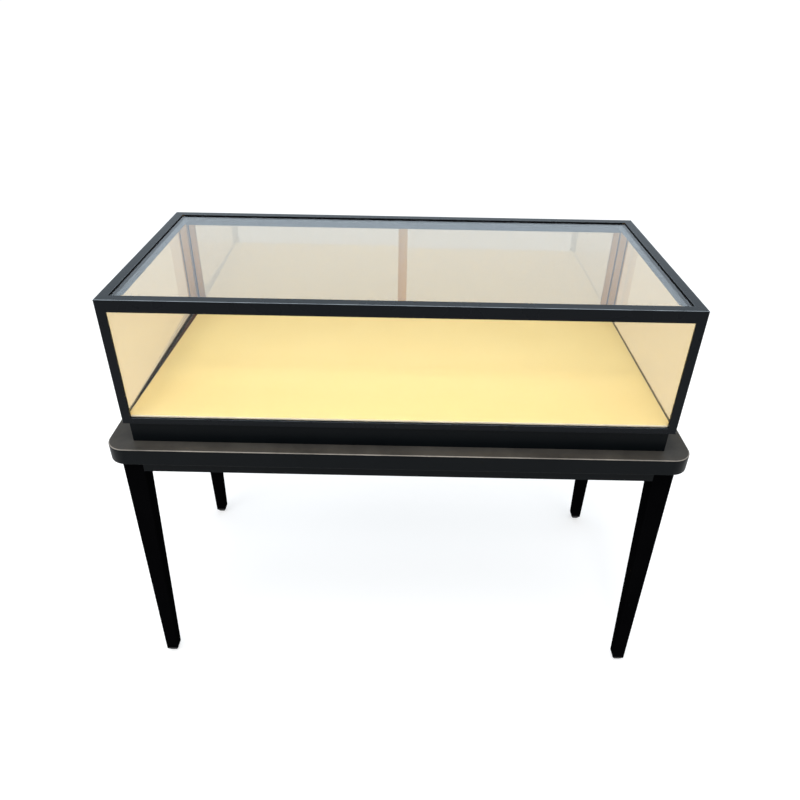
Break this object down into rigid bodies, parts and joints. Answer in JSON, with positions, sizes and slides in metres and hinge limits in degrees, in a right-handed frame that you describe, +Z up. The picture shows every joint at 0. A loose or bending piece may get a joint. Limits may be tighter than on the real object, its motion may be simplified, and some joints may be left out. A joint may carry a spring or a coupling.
{
  "type": "jewelry display cabinet",
  "caption": "Free-standing jewelry display cabinet: framed glass case with top light, cream pad and rear sliding doors, on a plinth and a black table with tapered legs.",
  "frame": {"origin": "on the floor, under the middle of the cabinet", "axes": "+X along the case to the customer's right, +Y from the customer's side to the rear, +Z up"},
  "size_m": [1.296, 0.6, 1.05],
  "materials": {
    "black_lacquered_wood": "satin black lacquer",
    "foot_plastic": "moulded, fine grain",
    "zinc_steel": "zinc plated",
    "bare_wood": "sawn, unfinished",
    "deck_veneer": "dark brown veneer",
    "cream_suede": "cream suede cloth over board",
    "black_frame": "satin black powder coat",
    "clear_glass": "clear float glass",
    "tinted_glass": "bronze coated float glass",
    "pane_rubber": "black, matt",
    "track_metal": "satin black",
    "brush_pile": "black pile",
    "bronze_frame": "pale bronze, brushed and anodised",
    "glide_plastic": "slippery white plastic",
    "lock_metal": "nickel plated",
    "lock_brass": "turned brass",
    "led_metal": "satin anodised",
    "led_chips": "strip with light chips",
    "led_opal": "opal cover",
    "lead_plastic": "white sheath",
    "driver_plastic": "white housing",
    "grommet_rubber": "black"
  },
  "bodies": {
    "cabinet": {"table_top": "black_lacquered_wood", "apron_front": "black_lacquered_wood", "apron_rear": "black_lacquered_wood", "apron_left": "black_lacquered_wood", "apron_right": "black_lacquered_wood", "leg_front_left": "black_lacquered_wood", "leg_front_right": "black_lacquered_wood", "leg_rear_left": "black_lacquered_wood", "leg_rear_right": "black_lacquered_wood", "foot_glides": "foot_plastic", "corner_brackets": "zinc_steel", "leg_bolts": "zinc_steel", "table_screws": "zinc_steel", "plinth_front": "black_lacquered_wood", "plinth_rear": "black_lacquered_wood", "plinth_left": "black_lacquered_wood", "plinth_right": "black_lacquered_wood", "plinth_blocks": "bare_wood", "case_screws": "zinc_steel", "deck_board": "deck_veneer", "display_pad": "cream_suede", "sill_front": "black_frame", "sill_rear": "black_frame", "sill_left": "black_frame", "sill_right": "black_frame", "post_front_left": "black_frame", "post_front_right": "black_frame", "post_rear_left": "bronze_frame", "post_rear_right": "bronze_frame", "top_rail_front": "black_frame", "top_rail_rear": "black_frame", "top_rail_left": "black_frame", "top_rail_right": "black_frame", "glass_top": "clear_glass", "glass_front": "clear_glass", "glass_left": "tinted_glass", "glass_right": "tinted_glass", "pane_gaskets": "pane_rubber", "top_gasket": "pane_rubber", "door_track": "track_metal", "door_guide": "track_metal", "jamb_brushes": "brush_pile", "led_channel": "led_metal", "led_strip": "led_chips", "led_diffuser": "led_opal", "led_lead": "lead_plastic", "led_driver": "driver_plastic", "cable_grommet": "grommet_rubber"},
    "door_left": {"door_left_glass": "tinted_glass", "door_left_stiles": "bronze_frame", "door_left_shoe": "bronze_frame", "door_left_glides": "glide_plastic", "lock_case": "lock_metal"},
    "door_right": {"door_right_glass": "tinted_glass", "door_right_stiles": "bronze_frame", "door_right_shoe": "bronze_frame", "door_right_glides": "glide_plastic"},
    "plunger": {"lock_plunger": "lock_metal"},
    "plug": {"lock_plug": "lock_brass"}
  },
  "joints": [
    {"name": "door_left_slide", "type": "slide", "parent": "cabinet", "child": "door_left", "axis": [1, 0, 0], "range_m": [0, 0.564]},
    {"name": "door_right_slide", "type": "slide", "parent": "cabinet", "child": "door_right", "axis": [-1, 0, 0], "range_m": [0, 0.564]},
    {"name": "lock_push", "type": "slide", "parent": "door_left", "child": "plunger", "axis": [0, -1, 0], "range_m": [0, 0.0045]},
    {"name": "key_turn", "type": "hinge", "parent": "plunger", "child": "plug", "pos_m": [0, 0.2839, 0.892], "axis": [0, 1, 0], "range_deg": [0, 90]}
  ]
}
